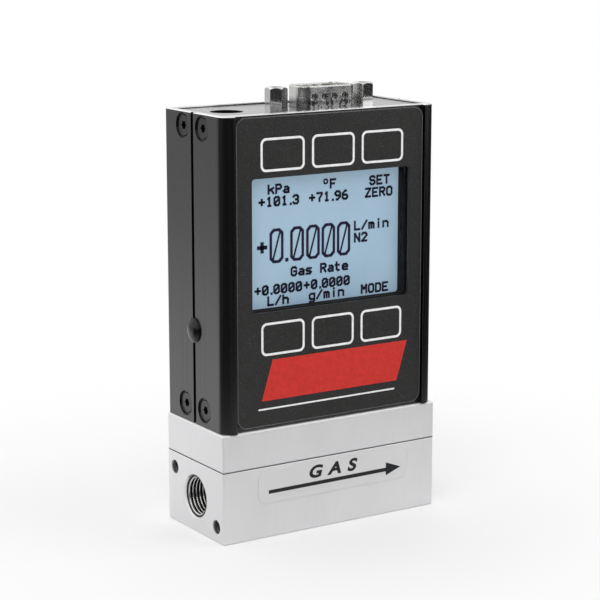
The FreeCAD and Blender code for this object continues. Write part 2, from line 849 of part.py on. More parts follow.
def jack_tab_cut():
    """Flat solder tab of the centre contact, from inside the barrel to the main board."""
    return box(jack_x - jack_tab_w / 2, jack_x + jack_tab_w / 2, main_board_rear_y,
               main_board_rear_y + jack_tab_thickness, jack_body_bottom - jack_tab_length,
               jack_body_bottom + jack_tab_length / 2)


def power_jack_pin():
    """Centre contact with a conical tip and its solder tab in one piece."""
    tip = plate_top - jack_below_face - jack_pin_recess
    pin = pointed_rod(jack_pin_r, pin_r, pin_r, jack_x, connector_y, jack_body_bottom, tip)
    return joined([pin, jack_tab_cut()])


def window_block(y_inner, y_outer, grow, corner):
    """Rounded block through the display opening, larger all round by grow."""
    half = window_w / 2 + grow
    low = window_z - window_h / 2 - grow
    high = window_z + window_h / 2 + grow
    return rounded_box(window_x - half, window_x + half, y_outer, y_inner, low, high, corner, "y")


def keypad_sheet(y0, y1):
    """Rounded sheet in the housing's recess with the display opening cut out."""
    sheet = rounded_box(-overlay_w / 2, overlay_w / 2, y0, y1, overlay_z0, overlay_z1, overlay_corner_r, "y")
    return sheet.cut(window_block(y1, y0, 0, window_corner_r))


def key_places():
    return [(key_x + i * key_pitch, z) for i in (-1, 0, 1) for z in (key_z_low, key_z_high)]


def keypad_overlay():
    return keypad_sheet(film_y, circuit_y)


def keypad_circuit():
    """Spacer and circuit layer with an opening at each dome and one folded tail."""
    half = dome_w / 2 + dome_clearance
    sheet = keypad_sheet(circuit_y, recess_y)
    sheet = sheet.cut([box(x - half, x + half, circuit_y, recess_y, z - half, z + half)
                       for x, z in key_places()])
    tail = box(-tail_w / 2, tail_w / 2, circuit_y, tail_end_y,
               tail_z - tail_thickness / 2, tail_z + tail_thickness / 2)
    return joined([sheet, tail])


def dome_block(x, z, y_foot):
    """Shallow four-sided block, its wide side on the plane y_foot."""
    foot = dome_w / 2
    top = dome_top_w / 2
    block = Part.makeWedge(-foot, 0, -foot, -top, -top, foot, dome_h, foot, top, top)
    block.rotate(V(0, 0, 0), V(0, 0, 1), 180)
    block.translate(V(x, y_foot, z))
    return block


def key_domes():
    """Thin pressed snap domes with four sloping sides."""
    return group([dome_block(x, z, recess_y).cut(dome_block(x, z, recess_y + dome_thickness))
                  for x, z in key_places()])


def keypad_connector():
    """Flat-cable connector on the display board's front face."""
    z0 = tail_z - keypad_connector_h / 2
    y0 = display_board_y - keypad_connector_reach
    half = keypad_connector_w / 2
    body = box(-half, half, y0, display_board_y, z0, z0 + keypad_connector_h)
    body = chamfer_along(body, edge_break, lambda e: abs(e.CenterOfMass.y - y0) < 0.001)
    slot_w = tail_w / 2 + tail_clearance
    slot_h = tail_thickness / 2 + tail_clearance
    return body.cut(box(-slot_w, slot_w, y0, tail_end_y, tail_z - slot_h, tail_z + slot_h))


def display_window():
    """Clear window held between the keypad and the display frame."""
    grow = lens_overlap - lens_clearance
    return window_block(inner_front_y, recess_y, grow, window_corner_r + grow)


def lcd_frame():
    """Bezel with a front lip round the lit area and a pocket for glass and backlight."""
    x0 = window_x - frame_w / 2
    z0 = window_z - frame_h / 2
    frame = rounded_box(x0, x0 + frame_w, inner_front_y, display_board_y, z0, z0 + frame_h, frame_wall, "y")
    pocket = box(x0 + frame_wall, x0 + frame_w - frame_wall, display_front_y, display_board_y,
                 z0 + frame_wall, z0 + frame_h - frame_wall)
    return frame.cut([pocket, window_block(display_front_y, inner_front_y, 0, window_corner_r)])


def display_layer(y0, y1):
    x0 = window_x - frame_w / 2 + frame_wall + display_fit
    z0 = window_z - frame_h / 2 + frame_wall + display_fit
    x1 = 2 * window_x - x0
    z1 = 2 * window_z - z0
    return box(x0, x1, y0, y1, z0, z1)


def board_blank(y0):
    return box(-board_w / 2, board_w / 2, y0, y0 + board_thickness, board_z0, board_z1)


def display_board():
    board = board_blank(display_board_y)
    holes = [rod(board_stud_r + shell_clearance, board_thickness, V(x, display_board_y, z), V(0, 1, 0))
             for x, z in board_fix_places()]
    return board.cut(holes)


def board_standoffs():
    """Hexagonal spacers with a stud in the shell's boss and a tapped rear end."""
    spacers = []
    for x, z in standoff_places():
        base = V(x, display_board_rear_y, z)
        body = hexagon_along_y(standoff_af, board_gap, base)
        stud = rod(board_stud_r, board_stud_length, base, V(0, -1, 0))
        bore = rod(board_stud_r + seal_clearance, board_screw_reach, V(x, main_board_y, z), V(0, -1, 0))
        spacers.append(joined([body, stud]).cut(bore))
    return group(spacers)


def pan_screw(x, y, z, reach):
    """Pan-head board screw seen from the rear, its head on the plane y."""
    head = rod(board_screw_head_r, board_screw_head_h, V(x, y, z), V(0, 1, 0))
    head = chamfer_along(head, board_screw_head_h / 3,
                         lambda e: e.CenterOfMass.y > y + board_screw_head_h - 0.001)
    return joined([head, rod(board_stud_r, reach, V(x, y, z), V(0, -1, 0))])


def display_board_screw():
    rest = [p for p in board_fix_places() if p not in standoff_places()]
    return group([pan_screw(x, display_board_rear_y, z, board_stud_length) for x, z in rest])


def main_board_screws():
    return group([pan_screw(x, main_board_rear_y, z, board_screw_reach + board_thickness - hole_spare_depth)
                  for x, z in standoff_places()])


def main_board():
    """Rear board: legs beside the sensors, a notch at the socket, edge in the connector."""
    board = board_blank(main_board_y)
    y0 = main_board_y
    y1 = main_board_rear_y
    leg_x = board_w / 2 - main_board_leg_w
    cuts = [box(-leg_x, leg_x, y0, y1, board_z0, board_z0 + main_board_leg_h),
            box(-board_w / 2, -board_w / 2 + main_board_notch_w, y0, y1,
                jack_body_bottom - board_end_clearance, board_z1)]
    top = insulator_bottom - shell_clearance
    cuts.append(box(-leg_x, leg_x, y0, y1, top, max(board_z1, top + 1)))
    for x, z in standoff_places():
        cuts.append(rod(board_stud_r + shell_clearance, board_thickness, V(x, y0, z), V(0, 1, 0)))
    return board.cut(cuts)


def board_link_header():
    """Board-to-board connector between the two boards."""
    block = box(-header_w / 2, header_w / 2, display_board_rear_y, main_board_y,
                header_z - header_h / 2, header_z + header_h / 2)
    return chamfer_along(block, edge_break, lambda e: abs(e.tangentAt(e.FirstParameter).y) > 0.9)


def main_board_parts():
    """Processor, converter, regulator and two capacitors on the rear face."""
    parts = [chip(processor_x, processor_z, processor_w, processor_w, processor_h),
             chip(converter_x, converter_z, converter_w, converter_d, processor_h),
             chip(regulator_x, regulator_z, regulator_w, regulator_w, regulator_h)]
    for x in (capacitor_x, capacitor_x + capacitor_pitch):
        parts.append(rod(capacitor_r, capacitor_h, V(x, main_board_rear_y, capacitor_z), V(0, 1, 0)))
    return group(parts)


def chip(x, z, w, d, h):
    """One moulded package on the main board's rear face."""
    return box(x - w / 2, x + w / 2, main_board_rear_y, main_board_rear_y + h, z - d / 2, z + d / 2)


def sensor_screw_places():
    reach = sensor_w / 2 + sensor_ear_w / 2
    return [-reach, reach]


def leads(count, x, z0):
    """Flat leads from a sensor up to the rear face of the main board."""
    top = board_z0 + main_board_leg_h + lead_overlap
    out = []
    for i in range(count):
        cx = x + (i - (count - 1) / 2) * lead_pitch
        out.append(box(cx - lead_w / 2, cx + lead_w / 2, main_board_rear_y,
                       main_board_rear_y + lead_thickness, z0, top))
    return out


def nozzle(x):
    return rod(nozzle_r, nozzle_length + join_depth, V(x, 0, boss_top - nozzle_length), V(0, 0, 1))


def nozzle_bore(x):
    return rod(tap_r, nozzle_length + join_depth, V(x, 0, boss_top - nozzle_length), V(0, 0, 1))


def differential_pressure_sensor():
    """Board-type sensor with two nozzles, two ears and four leads."""
    y0 = -sensor_d / 2
    y1 = sensor_d / 2
    half = sensor_w / 2
    body = rounded_box(-half, half, y0, y1, boss_top, boss_top + sensor_h, inner_corner_r, "z")
    reach = half + sensor_ear_w
    ears = rounded_box(-reach, reach, y0 / 2, y1 / 2, boss_top, boss_top + sensor_ear_h, inner_corner_r, "z")
    solid = joined([body, ears, nozzle(-tap_x), nozzle(tap_x)]
                   + leads(differential_lead_count, 0, boss_top + sensor_ear_h))
    bores = [nozzle_bore(-tap_x), nozzle_bore(tap_x)]
    bores += [rod(sensor_screw_r + shell_clearance, sensor_ear_h, V(x, 0, boss_top), V(0, 0, 1))
              for x in sensor_screw_places()]
    return solid.cut(bores)


def sensor_screws():
    screws = []
    for x in sensor_screw_places():
        seat = V(x, 0, boss_top + sensor_ear_h)
        head = rod(sensor_screw_head_r, sensor_screw_head_h, seat, V(0, 0, 1))
        shank = rod(sensor_screw_r, sensor_screw_reach + sensor_ear_h, seat, V(0, 0, -1))
        screws.append(joined([head, shank]))
    return group(screws)


def absolute_pressure_sensor():
    """Round metal can with one nozzle and three leads."""
    can = rod(absolute_can_r, absolute_can_h, V(-plenum_tap_x, 0, boss_top), V(0, 0, 1))
    can = chamfer_along(can, edge_break, lambda e: e.CenterOfMass.z > boss_top + absolute_can_h - 0.001)
    solid = joined([can, nozzle(-plenum_tap_x)]
                   + leads(absolute_lead_count, -plenum_tap_x, boss_top + absolute_can_h / 2))
    return solid.cut(nozzle_bore(-plenum_tap_x))


def sensor_seals():
    """Sealing rings round the three nozzles."""
    z0 = boss_top - nozzle_length / 2
    return group([seal_ring(x, z0, nozzle_r + seal_clearance, seal_w, seal_h)
                  for x in (-plenum_tap_x, -tap_x, tap_x)])


def temperature_probe():
    """Slim probe reaching past the middle of the bore, with its head and two leads."""
    foot = port_z - probe_reach
    stem = rod(probe_r, boss_top + join_depth - foot, V(plenum_tap_x, 0, foot), V(0, 0, 1))
    head = rod(probe_head_r, probe_head_h, V(plenum_tap_x, 0, boss_top), V(0, 0, 1))
    return joined([stem, head] + leads(probe_lead_count, plenum_tap_x, boss_top + probe_head_h / 2))


def flow_label():
    y0 = -body_d / 2 - label_thickness
    return rounded_box(label_x - label_w / 2, label_x + label_w / 2, y0, -body_d / 2,
                       label_z - label_h / 2, label_z + label_h / 2, label_corner_r, "y")


def build():
    nodes = {
        "flow_body": flow_body(),
        "sensor_block": sensor_block(),
        "laminar_element": laminar_element(),
        "inlet_screen": flow_screen(-1),
        "outlet_screen": flow_screen(1),
        "tap_seals": tap_seals(),
        "body_bolts": body_bolts(),
        "front_shell": front_shell(),
        "rear_shell": rear_shell(),
        "side_screws": side_screws(),
        "side_plug": side_plug(),
        "top_plate": top_plate(),
        "dsub_shell": dsub_shell(),
        "dsub_insulator": dsub_insulator(),
        "dsub_pins": dsub_pins(),
        "jackscrews": jackscrews(),
        "jackscrew_nuts": jackscrew_nuts(),
        "power_jack_body": power_jack_body(),
        "power_jack_pin": power_jack_pin(),
        "keypad_overlay": keypad_overlay(),
        "keypad_circuit": keypad_circuit(),
        "key_domes": key_domes(),
        "keypad_connector": keypad_connector(),
        "display_window": display_window(),
        "lcd_frame": lcd_frame(),
        "lcd_glass": display_layer(display_front_y, backlight_y),
        "lcd_backlight": display_layer(backlight_y, display_board_y),
        "display_board": display_board(),
        "board_standoffs": board_standoffs(),
        "display_board_screw": display_board_screw(),
        "board_link_header": board_link_header(),
        "main_board": main_board(),
        "main_board_parts": main_board_parts(),
        "main_board_screws": main_board_screws(),
        "differential_pressure_sensor": differential_pressure_sensor(),
        "sensor_screws": sensor_screws(),
        "absolute_pressure_sensor": absolute_pressure_sensor(),
        "sensor_seals": sensor_seals(),
        "temperature_probe": temperature_probe(),
        "flow_label": flow_label(),
    }
    os.makedirs("parts", exist_ok=True)
    for name, shape in nodes.items():
        shape.exportStep(os.path.join("parts", name + ".step"))


build()
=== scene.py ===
import math

import bmesh
import bpy
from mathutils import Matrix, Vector


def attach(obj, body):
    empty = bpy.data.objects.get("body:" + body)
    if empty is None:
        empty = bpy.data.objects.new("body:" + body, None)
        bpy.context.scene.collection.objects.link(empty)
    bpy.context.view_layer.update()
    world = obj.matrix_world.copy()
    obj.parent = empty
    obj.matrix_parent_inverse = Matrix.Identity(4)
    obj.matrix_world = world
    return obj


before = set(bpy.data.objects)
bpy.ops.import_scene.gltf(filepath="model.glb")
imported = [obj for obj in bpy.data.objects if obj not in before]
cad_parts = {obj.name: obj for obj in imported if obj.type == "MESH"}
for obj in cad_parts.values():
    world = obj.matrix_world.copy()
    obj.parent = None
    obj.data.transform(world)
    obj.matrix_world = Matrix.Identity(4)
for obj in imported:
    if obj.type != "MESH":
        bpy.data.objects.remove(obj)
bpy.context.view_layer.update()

# Looks and printed details of a compact gas mass flow meter.
# Lengths are in millimetres, but those of the floor, the lamps and the camera are in metres.
# X runs along the flow, -Y is the front and Z is up. A box is x0, x1, z0, z1 on the front.

MM = 0.001


def corners(node):
    """Lowest and highest corner of one of the frame's nodes."""
    points = [vertex.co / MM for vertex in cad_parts[node].data.vertices]
    return [[round(pick(point[i] for point in points), 4) for i in range(3)] for pick in (min, max)]


def front_box(node):
    """The box that a node fills as seen from the front."""
    low, high = corners(node)
    return low[0], high[0], low[2], high[2]


def shrunk(box, by):
    """A box made smaller by the same amount on every side."""
    x0, x1, z0, z1 = box
    return x0 + by, x1 - by, z0 + by, z1 - by


# Places taken from the frame
HALF_W, HALF_D, JOINT_Z = corners("flow_body")[1]
PORT_Z = JOINT_Z / 2
FILM_Y = corners("keypad_overlay")[0][1]
GLASS_Y = corners("lcd_glass")[0][1]
LABEL_Y = corners("flow_label")[0][1]
HOUSING_TOP = corners("front_shell")[1][2]
JACKSCREW_TOP = corners("jackscrews")[1][2]
DSUB_LOW, DSUB_HIGH = corners("dsub_shell")
DSUB_X = (DSUB_LOW[0] + DSUB_HIGH[0]) / 2
DSUB_Y = (DSUB_LOW[1] + DSUB_HIGH[1]) / 2
DSUB_TOP = DSUB_HIGH[2]

# Threaded holes. A thread starts a little inside the face and is drawn in so many steps to a turn
ACCESSORY_HOLE_Y = 9.95
ACCESSORY_HOLE_RISE = 4.97
MOUNT_HOLE_SPACING = 25.4
JACKSCREW_SPACING = 24.99
PORT_THREAD = dict(start=0.1, wall_r=5.1, crest_r=4.36, pitch=0.94, length=10.4, steps=64)
ACCESSORY_THREAD = dict(start=0.04, wall_r=1.7, crest_r=1.40, pitch=0.79, length=6.4, steps=28)
MOUNT_THREAD = dict(start=0.1, wall_r=1.75, crest_r=1.45, pitch=0.79, length=3.9, steps=28)
JACKSCREW_THREAD = dict(start=0.2, wall_r=1.15, crest_r=0.98, pitch=0.64, length=3.7, steps=24)

# A thread's ridge. Half widths and the gap at the mouth are shares of the pitch, and the shoulders' drop
# is a share of the ridge's height
ROOT_SINK = 0.03
ROOT_HALF = 0.47
CREST_HALF = 0.10
MOUTH_GAP = 0.002
SHOULDER_DROP = 0.13
FADE_IN_TURNS = 0.5
FADE_OUT_TURNS = 0.4

# Print lies this deep in its ground and is this thick in all
PRINT_SINK = 0.01
PRINT_THICKNESS = 0.03

# Print on the keypad film
KEY_X = 0.38
KEY_PITCH = 14.05
KEY_HALF_W = 6.02
KEY_ROWS = ((87.85, 95.7), (44.42, 52.33))
KEY_PEN = 0.56
KEY_CORNER = 1.45
KEY_INNER_CORNER = 0.98
KEY_THICKNESS = 0.035
FILM_CORNER = 2.5
BEAD_W = 0.18
BEAD_SINK = 0.02
BEAD_THICKNESS = 0.06
BAND_BOX = (-19.6, 19.2, 33.6, 43.4)
BAND_LEAN = 3.0
RULE_BOX = (-20.6, 18.5, 31.4, 31.8)
RULE_LEAN = 0.12

# Readout. Small text has the X of its middle and the Z it stands on, and the units beside the large
# figure all start at one X. A degree sign has the half width and the corner radius of its ring and hole
UNIT_X = 0.335
UNIT_Z = 0.32
PEN = 0.56
DOT_PEN = 1.1 * PEN
ADVANCE = 2.08
DOT_ADVANCE = ADVANCE / 2
STROKE_REACH = 0.82
READOUT = (
    ("kPa", -12.9, 81.97), ("+101.3", -12.85, 79.1), ("~F", 1.3, 82.07), ("+71.96", 1.1, 79.1),
    ("SET", 15.8, 81.97), ("ZERO", 15.6, 79.05), ("Gas Rate", -1.4, 61.95),
    ("+0.0000", -13.0, 58.2), ("L/h", -13.1, 55.5), ("+0.0000", 0.65, 58.25), ("g/min", 0.6, 55.65),
    ("MODE", 14.6, 55.55),
)
UNIT_TEXT_X = 8.7
UNIT_TEXT = (("L/min", 71.35), ("N2", 68.4))
BIG_LEFTS = (-15.45, -9.72, -5.25, -0.88, 3.5)
BIG_W = 3.88
BIG_LOW = 65.65
BIG_HIGH = 73.9
BIG_PEN = 0.72
BIG_CUT = 1.0
BIG_INNER_CUT = BIG_CUT - 0.42 * BIG_PEN
SLASH_PEN = 0.5
SLASH_INSET_X = 1.0
SLASH_INSET_Z = 0.95
BIG_DOT = (-10.65, 66.17)
BIG_DOT_PEN = 0.9
BIG_PLUS_LEVEL = ((-18.5, 69.65), (-16.45, 69.65))
BIG_PLUS_UPRIGHT = ((-17.48, 68.7), (-17.48, 70.6))
BIG_PLUS_PEN = 0.95
DEGREE_RING = (0.7, 0.5)
DEGREE_HOLE = (0.27, 0.2)
DISPLAY_AREA = (-21.3, 21.35, 55.15, 86.3)
DISPLAY_AREA_CORNER = 0.7
BORDER_GAP = 0.1
BORDER_CORNER = 0.1
BORDER_THICKNESS = 0.02

# Strokes of each letter: two digits are a point, across and up in units, and a space lifts the pen
GLYPHS = {
    "0": "123243473818070312 1436", "1": "172822 1232", "2": "07183847460242",
    "3": "0718384746354443321203 2535", "6": "38280603123243443505", "7": "0848472422",
    "9": "12224447381807061545", "+": "0545 2327 1535 2426", "/": "0248",
    "D": "02083847433202", "E": "48080242 0535", "F": "020848 0535", "G": "47381807031232434525",
    "L": "080242", "M": "0208254842", "N": "02084248", "O": "123243473818070312",
    "P": "02083847463505", "R": "02083847463505 2542", "S": "473818070615354443321203",
    "T": "0848 2822", "Z": "08480242",
    "a": "1636454212031444", "e": "044445361605031242", "g": "461605031242 46413000",
    "h": "0208 0516364542", "i": "2622 28", "k": "0208 4604 2542", "m": "0206364542 2622",
    "n": "0206364542", "s": "4616051434433202", "t": "18132232 0636",
}

# Joint between the two blocks
JOINT_HALF_H = 0.13
JOINT_OUTER_INSET = 0.12
JOINT_INNER_INSET = 0.6

# Print on the label
ARROW = ((-18.1, 10.85), (15.9, 10.95), (15.9, 9.95), (20.3, 11.55), (15.9, 13.25), (15.9, 11.9),
         (-18.1, 11.75))
WORD = "GAS"
WORD_BOX = (-6.6, 7.4, 12.7, 15.9)
WORD_SLANT = 0.22
WORD_BOLD = 0.04
WORD_SPACING = 1.8

# Rays of each node that rounds edges
BEVEL_SAMPLES = 4

# Camera, fitted to the photograph's corners, with angles in degrees
PHOTO_W_PIXELS = 600
FOCAL_PIXELS = 1906.0
SENSOR_W = 36.0
CAMERA_PLACE = (-0.2466, -0.3836, 0.1468)
CAMERA_DOWN = 11.55
CAMERA_TURN = -32.67

# Lamps: name, place, size and watts, all aimed at one point
LAMP_AIM = (0, 0, 0.05)
LAMPS = (
    ("key", (-0.55, -0.55, 0.75), 0.9, 5.2),
    ("fill", (0.6, -0.5, 0.45), 0.8, 3.0),
    ("top", (0.0, 0.25, 0.9), 1.8, 4.6),
)


# Node trees
class Graph:
    """One node tree, with short ways to add nodes and to join them."""

    def __init__(self, owner, output):
        owner.use_nodes = True
        self.tree = owner.node_tree
        self.tree.nodes.clear()
        self.out = self.node(output)

    def node(self, kind, **settings):
        added = self.tree.nodes.new(kind)
        for setting, value in settings.items():
            setattr(added, setting, value)
        return added

    def feed(self, socket, value):
        """Sets an input to a number or a colour, or joins it to another node's output."""
        if isinstance(value, tuple):
            socket.default_value = (*value, 1)
        elif isinstance(value, (int, float)):
            socket.default_value = value
        else:
            self.tree.links.new(value, socket)

    def axes(self, source):
        """The X, Y and Z of a vector, by name."""
        split = self.node("ShaderNodeSeparateXYZ")
        self.feed(split.inputs[0], source)
        return split.outputs

    def maths(self, operation, *values):
        result = self.node("ShaderNodeMath", operation=operation)
        for socket, value in zip(result.inputs, values):
            self.feed(socket, value)
        return result.outputs[0]

    def spread(self, source, low, high, a=0.0, b=1.0, curve="LINEAR"):
        """Maps low..high of the source to a..b."""
        mapped = self.node("ShaderNodeMapRange", interpolation_type=curve)
        values = {"Value": source, "From Min": low, "From Max": high, "To Min": a, "To Max": b}
        for name, value in values.items():
            self.feed(mapped.inputs[name], value)
        return mapped.outputs[0]

    def ease(self, source, low, high, a, b):
        """Maps low..high of the source to a..b, slow at both ends."""
        return self.spread(source, low, high, a, b, "SMOOTHSTEP")

    def mix(self, fac, a, b):
        """Number a where fac is 0, b where it is 1."""
        mixed = self.node("ShaderNodeMix", data_type="FLOAT")
        for number, value in ((0, fac), (2, a), (3, b)):
            self.feed(mixed.inputs[number], value)
        return mixed.outputs[0]

    def blend(self, fac, a, b):
        """Colour a where fac is 0, b where it is 1."""
        mixed = self.node("ShaderNodeMix", data_type="RGBA")
        self.feed(mixed.inputs["Factor"], fac)
        first, second = [socket for socket in mixed.inputs if socket.type == "RGBA"]
        self.feed(first, a)
        self.feed(second, b)
        return [socket for socket in mixed.outputs if socket.type == "RGBA"][0]


class Look(Graph):
    """A material with one Principled shader. Its patterns' scales are waves per metre."""

    def __init__(self, name, colour, rough, metal=0.0, specular=0.5):
        self.mat = bpy.data.materials.new(name)
        super().__init__(self.mat, "ShaderNodeOutputMaterial")
        principled = self.node("ShaderNodeBsdfPrincipled")
        self.feed(self.out.inputs["Surface"], principled.outputs[0])
        self.shader = principled.inputs
        values = {"Base Color": colour, "Roughness": rough, "Metallic": metal, "Specular IOR Level": specular}
        for name, value in values.items():
            self.feed(self.shader[name], value)
        self.mat.diffuse_color = (*colour, 1)
        self.place = self.node("ShaderNodeTexCoord").outputs["Object"]

    def pattern(self, kind, scale, **values):
        """A texture node on object coordinates; one scale for all axes, or one for each."""
        stretch = self.node("ShaderNodeMapping")
        stretch.inputs["Scale"].default_value = scale if isinstance(scale, tuple) else (scale, scale, scale)
        self.feed(stretch.inputs["Vector"], self.place)
        texture = self.node(kind)
        self.feed(texture.inputs["Vector"], stretch.outputs[0])
        for name, value in values.items():
            self.feed(texture.inputs[name], value)
        return texture.outputs

    def noise(self, scale, detail=3.0, rough=0.55):
        return self.pattern("ShaderNodeTexNoise", scale, Scale=1.0, Detail=detail, Roughness=rough)["Fac"]

    def cells(self, scale, randomness):
        return self.pattern("ShaderNodeTexVoronoi", scale, Scale=1.0, Randomness=randomness)["Distance"]

    def weigh(self, a, b, share):
        """Two patterns together, a with this share."""
        return self.maths("ADD", self.maths("MULTIPLY", a, share), self.maths("MULTIPLY", b, 1 - share))

    def drift(self, source, low, high):
        """Colour that wanders from low to high with a pattern."""
        return self.blend(self.spread(source, 0.35, 0.65), low, high)

    def colour(self, source):
        self.feed(self.shader["Base Color"], source)

    def sheen(self, source, low, high, start=0.3, end=0.7):
        """Roughness that wanders from low to high with a pattern."""
        self.feed(self.shader["Roughness"], self.spread(source, start, end, low, high))

    def bump(self, source, height, strength):
        relief = self.node("ShaderNodeBump")
        self.feed(relief.inputs["Strength"], strength)
        self.feed(relief.inputs["Distance"], height * MM)
        self.feed(relief.inputs["Height"], source)
        self.feed(self.shader["Normal"], relief.outputs[0])

    def bevel(self, radius):
        """The surface's normal as if its edges were rounded."""
        rounding = self.node("ShaderNodeBevel", samples=BEVEL_SAMPLES)
        self.feed(rounding.inputs["Radius"], radius * MM)
        return rounding.outputs[0]

    def flatness(self, radius):
        """1 on faces and less where an edge is close: the rounded normal against the true one."""
        product = self.node("ShaderNodeVectorMath", operation="DOT_PRODUCT")
        self.feed(product.inputs[0], self.bevel(radius))
        self.feed(product.inputs[1], self.node("ShaderNodeNewGeometry").outputs["Normal"])
        return product.outputs["Value"]


# Materials
def grey(tone):
    return tone, tone, tone


def shades(colour, down, up):
    return tuple(v * down for v in colour), tuple(min(v * up, 1.0) for v in colour)


def blasted_metal(name, tone, rough, metal):
    """Machined, lightly blasted and clear anodised aluminium with upright tool marks."""
    look = Look(name, (tone, tone, tone * 1.01), rough, metal)
    cloud = look.noise((70, 70, 34), 4.0, 0.6)
    marks = look.noise((1500, 1500, 90), 2.0, 0.6)
    grain = look.noise(6200, 2.0, 0.7)
    low, high = shades((tone, tone, tone * 1.012), 0.975, 1.02)
    look.colour(look.blend(look.spread(look.weigh(cloud, marks, 0.65), 0.36, 0.64), low, high))
    look.sheen(cloud, rough - 0.03, rough + 0.04, 0.35, 0.65)
    look.bump(grain, 0.010, 0.3)
    return look.mat


def brushed_metal(name, colour, rough, contrast):
    """Metal with fine lines along X."""
    look = Look(name, colour, rough, 1.0)
    lines = look.noise((60, 5200, 5200), 3.0, 0.7)
    cloud = look.noise(55)
    look.colour(look.drift(lines, *shades(colour, 1 - contrast, 1 + contrast)))
    look.sheen(cloud, rough * 0.85, rough * 1.2)
    look.bump(lines, 0.004, 0.4)
    return look.mat


def plated(name, colour, rough, mottle=0.1):
    """Bright plated steel or brass with faint handling marks."""
    look = Look(name, colour, rough, 1.0)
    cloud = look.noise(420, 4.0, 0.65)
    fine = look.noise(3000, 2.0)
    look.colour(look.drift(cloud, *shades(colour, 1 - mottle, 1 + mottle * 0.6)))
    look.sheen(fine, rough * 0.8, rough * 1.35)
    look.bump(cloud, 0.01, 0.25)
    return look.mat


def moulded(name, colour, rough, grain_size=0.25, depth=0.01, vary=0.12, specular=0.5):
    """Moulded or painted surface: fine grain, slight colour drift, uneven sheen."""
    look = Look(name, colour, rough, 0.0, specular)
    grain = look.noise(1 / (grain_size * MM), 2.0, 0.6)
    cloud = look.noise(45)
    look.colour(look.drift(cloud, *shades(colour, 1 - vary, 1 + vary)))
    look.sheen(look.weigh(grain, cloud, 0.5), rough - 0.05, rough + 0.06, 0.35, 0.65)
    look.bump(grain, depth, 0.5)
    return look.mat


def housing_paint():
    """Black satin finish of the shells: edges rubbed lighter, the sawn top edge bare metal."""
    rubbed_width = 0.16
    bare_from = HOUSING_TOP - 0.17
    look = Look("housing_black", (0.0018, 0.0018, 0.0019), 0.25, 0.0, 1.0)
    grain = look.noise(3800, 2.0, 0.6)
    cloud = look.noise((38, 38, 22))
    streaks = look.noise((1400, 1400, 12), 2.0)
    face = look.drift(cloud, (0.0013, 0.0013, 0.0014), (0.0023, 0.0023, 0.0024))
    rubbed = look.spread(look.flatness(rubbed_width), 0.90, 0.995, 0.6, 0.0)
    painted = look.blend(rubbed, face, (0.07, 0.07, 0.073))
    bare = look.maths("GREATER_THAN", look.axes(look.place)["Z"], bare_from * MM)
    look.colour(look.blend(bare, painted, (0.93, 0.93, 0.94)))
    look.feed(look.shader["Metallic"], bare)
    look.sheen(streaks, 0.20, 0.30)
    look.bump(grain, 0.006, 0.4)
    return look.mat


def overlay_film():
    """Charcoal printed film with a fine velvet grain and brighter specks."""
    look = Look("overlay_film", (0.030, 0.030, 0.029), 0.55, 0.0, 0.4)
    speck = look.noise(2400, 2.0, 0.75)
    cloud = look.noise(60)
    bright = look.noise(3300, 1.0, 0.5)
    both = look.spread(look.weigh(speck, cloud, 0.75), 0.34, 0.66)
    velvet = look.blend(both, (0.012, 0.012, 0.0115), (0.028, 0.028, 0.027))
    look.colour(look.blend(look.spread(bright, 0.62, 0.74, 0.0, 0.6), velvet, (0.12, 0.12, 0.115)))
    look.sheen(speck, 0.46, 0.64)
    look.bump(speck, 0.012, 0.5)
    return look.mat


def display_face():
    """Lit face of the display: pale blue grey, slightly uneven, with faint gaps between its cells."""
    cell_pitch = 0.21 * MM
    gap_share = 0.16
    look = Look("lcd_face", (0.33, 0.47, 0.59), 0.35, 0.0, 0.3)
    field = look.drift(look.noise(26, 2.0), (0.300, 0.430, 0.550), (0.375, 0.520, 0.640))
    place = look.axes(look.place)
    gaps = []
    for axis in ("X", "Z"):
        through = look.maths("FRACT", look.maths("DIVIDE", place[axis], cell_pitch))
        gaps.append(look.maths("LESS_THAN", through, gap_share))
    lines = look.maths("MULTIPLY", look.maths("MAXIMUM", *gaps), 0.22)
    celled = look.blend(lines, field, (0.24, 0.35, 0.46))
    look.colour(celled)
    look.feed(look.shader["Emission Color"], celled)
    look.feed(look.shader["Emission Strength"], 0.38)
    return look.mat


def clear_window():
    """Thin clear pane with a faint haze."""
    look = Look("window_clear", (0.03, 0.04, 0.05), 0.04)
    look.feed(look.shader["Alpha"], 0.06)
    cloud = look.noise(120)
    look.colour(look.blend(look.spread(cloud, 0.3, 0.7), (0.02, 0.03, 0.04), (0.05, 0.06, 0.07)))
    look.sheen(cloud, 0.02, 0.07)
    return look.mat


def ink(name, colour, rough=0.5):
    """Screen-printed ink: slightly uneven in depth of colour."""
    look = Look(name, colour, rough, 0.0, 0.25)
    cloud = look.noise(900)
    look.colour(look.drift(cloud, *shades(colour, 0.92, 1.06)))
    look.sheen(cloud, rough - 0.08, rough + 0.08)
    return look.mat


def board_mask():
    """Green solder mask with faint tracks below it."""
    look = Look("board_green", (0.012, 0.10, 0.035), 0.35)
    tracks = look.cells(700, 0.4)
    mask = look.blend(look.spread(look.noise(80), 0.3, 0.7), (0.010, 0.085, 0.030), (0.016, 0.125, 0.045))
    look.colour(look.blend(look.spread(tracks, 0.42, 0.5, 0.0, 0.35), mask, (0.03, 0.20, 0.08)))
    look.bump(tracks, 0.01, 0.3)
    return look.mat


